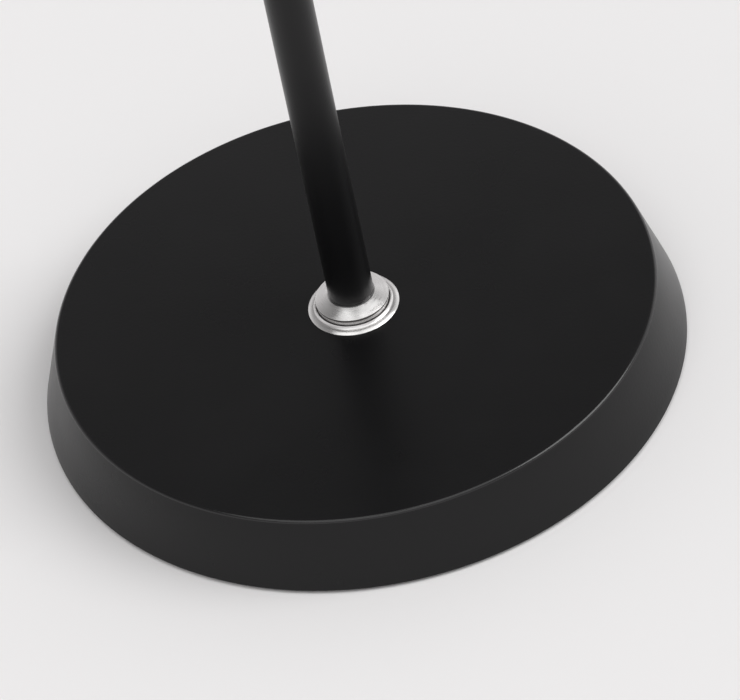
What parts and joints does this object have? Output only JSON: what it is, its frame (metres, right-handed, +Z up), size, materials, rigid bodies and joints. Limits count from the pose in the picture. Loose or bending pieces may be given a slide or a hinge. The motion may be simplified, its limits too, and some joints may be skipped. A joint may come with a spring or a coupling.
{
  "type": "gooseneck reading floor lamp",
  "caption": "Floor lamp with a round weighted base, a slim upright pole, a flexible ribbed neck and a metal reading shade with a rotary switch.",
  "frame": {"origin": "on the floor, on the axis of the pole and of the round base", "axes": "+Z up along the pole; -Y to the front, where the neck arches over and the shade looks down; +X to the side of the switch knob"},
  "size_m": [0.27, 0.5586, 1.3545],
  "materials": {
    "black_steel": "satin",
    "black_neck": "satin",
    "black_shade": "satin",
    "bright_nickel": "satin",
    "cast_iron": "matte",
    "plated_steel": "satin",
    "black_rubber": "matte",
    "black_resin": "satin",
    "brass": "satin",
    "bulb_metal": "satin",
    "white_plastic": "satin",
    "opal_plastic": "satin"
  },
  "bodies": {
    "stand": {"base_shell": "black_steel", "cord_grommet": "black_rubber", "base_weight": "cast_iron", "base_plate": "plated_steel", "base_pad": "black_rubber", "plate_screws": "plated_steel", "base_stud": "plated_steel", "clamp_washer": "plated_steel", "lock_washer": "plated_steel", "clamp_nut": "plated_steel", "collar_flange": "bright_nickel", "collar_ring": "bright_nickel", "pole_foot": "black_steel", "pole_lower": "black_steel", "pole_middle": "black_steel", "pole_upper": "black_steel", "coupling_lower": "plated_steel", "coupling_upper": "plated_steel", "pole_bush": "plated_steel", "pole_cap": "bright_nickel", "neck_stud": "plated_steel", "neck_ferrule_lower": "bright_nickel"},
    "neck_01": {"neck_link_01": "black_neck"},
    "neck_02": {"neck_link_02": "black_neck"},
    "neck_03": {"neck_link_03": "black_neck"},
    "neck_04": {"neck_link_04": "black_neck"},
    "neck_05": {"neck_link_05": "black_neck"},
    "neck_06": {"neck_link_06": "black_neck"},
    "neck_07": {"neck_link_07": "black_neck"},
    "neck_08": {"neck_link_08": "black_neck"},
    "neck_09": {"neck_link_09": "black_neck"},
    "neck_10": {"neck_link_10": "black_neck"},
    "neck_11": {"neck_link_11": "black_neck"},
    "head": {"neck_ferrule_upper": "bright_nickel", "head_stud": "plated_steel", "head_nut": "plated_steel", "socket_cup": "black_steel", "holder_cap": "black_resin", "holder_body": "black_resin", "socket_insulator": "black_resin", "terminal_screws": "brass", "screw_shell": "brass", "centre_contact": "brass", "switch_body": "black_resin", "switch_bush": "brass", "switch_nut": "plated_steel", "shade": "black_shade", "shade_ring": "black_resin", "bulb_contact": "brass", "bulb_cap": "bulb_metal", "bulb_housing": "white_plastic", "bulb_globe": "opal_plastic"},
    "knob": {"switch_shaft": "brass", "switch_knob": "black_resin"}
  },
  "joints": [
    {"name": "lower_bend_1", "type": "hinge", "parent": "stand", "child": "neck_01", "pos_m": [0, 0, 1.197], "axis": [1, 0.0002, 0], "range_deg": [-14, 4]},
    {"name": "lower_lean", "type": "hinge", "parent": "neck_01", "child": "neck_02", "pos_m": [0, -0.00707, 1.23026], "axis": [0, 0.9781, 0.2079], "range_deg": [-18, 18]},
    {"name": "lower_bend_2", "type": "hinge", "parent": "neck_02", "child": "neck_03", "pos_m": [0, -0.01758, 1.26259], "axis": [1, 0.0002, 0], "range_deg": [-14, 4]},
    {"name": "lower_bend_3", "type": "hinge", "parent": "neck_03", "child": "neck_04", "pos_m": [0, -0.03458, 1.29204], "axis": [1, 0.0002, 0], "range_deg": [-14, 4]},
    {"name": "middle_bend_1", "type": "hinge", "parent": "neck_04", "child": "neck_05", "pos_m": [0, -0.05733, 1.3173], "axis": [1, 0.0002, 0], "range_deg": [-19, 4]},
    {"name": "middle_bend_2", "type": "hinge", "parent": "neck_05", "child": "neck_06", "pos_m": [0, -0.08647, 1.33482], "axis": [1, 0.0002, 0], "range_deg": [-19, 4]},
    {"name": "middle_lean", "type": "hinge", "parent": "neck_06", "child": "neck_07", "pos_m": [0, -0.11946, 1.34304], "axis": [0, 0.2419, 0.9703], "range_deg": [-18, 18]},
    {"name": "middle_bend_3", "type": "hinge", "parent": "neck_07", "child": "neck_08", "pos_m": [0, -0.15313, 1.34777], "axis": [1, 0.0002, 0], "range_deg": [-19, 4]},
    {"name": "upper_bend_1", "type": "hinge", "parent": "neck_08", "child": "neck_09", "pos_m": [0, -0.18671, 1.34245], "axis": [1, 0.0002, 0], "range_deg": [-17, 5]},
    {"name": "upper_bend_2", "type": "hinge", "parent": "neck_09", "child": "neck_10", "pos_m": [0, -0.21777, 1.32862], "axis": [1, 0.0002, 0], "range_deg": [-17, 5]},
    {"name": "upper_lean", "type": "hinge", "parent": "neck_10", "child": "neck_11", "pos_m": [0, -0.24419, 1.30723], "axis": [0, -0.6293, 0.7771], "range_deg": [-18, 18]},
    {"name": "upper_bend_3", "type": "hinge", "parent": "neck_11", "child": "head", "pos_m": [0, -0.26824, 1.28319], "axis": [1, 0.0002, 0], "range_deg": [-17, 5]},
    {"name": "switch_turn", "type": "hinge", "parent": "head", "child": "knob", "pos_m": [0.027, -0.29324, 1.23989], "axis": [1, 0, 0], "continuous": true}
  ],
  "couplings": [
    {"joint": "lower_bend_2", "follows": "lower_bend_1", "ratio": 1},
    {"joint": "lower_bend_3", "follows": "lower_bend_1", "ratio": 1},
    {"joint": "middle_bend_2", "follows": "middle_bend_1", "ratio": 1},
    {"joint": "middle_bend_3", "follows": "middle_bend_1", "ratio": 1},
    {"joint": "upper_bend_2", "follows": "upper_bend_1", "ratio": 1},
    {"joint": "upper_bend_3", "follows": "upper_bend_1", "ratio": 1}
  ]
}
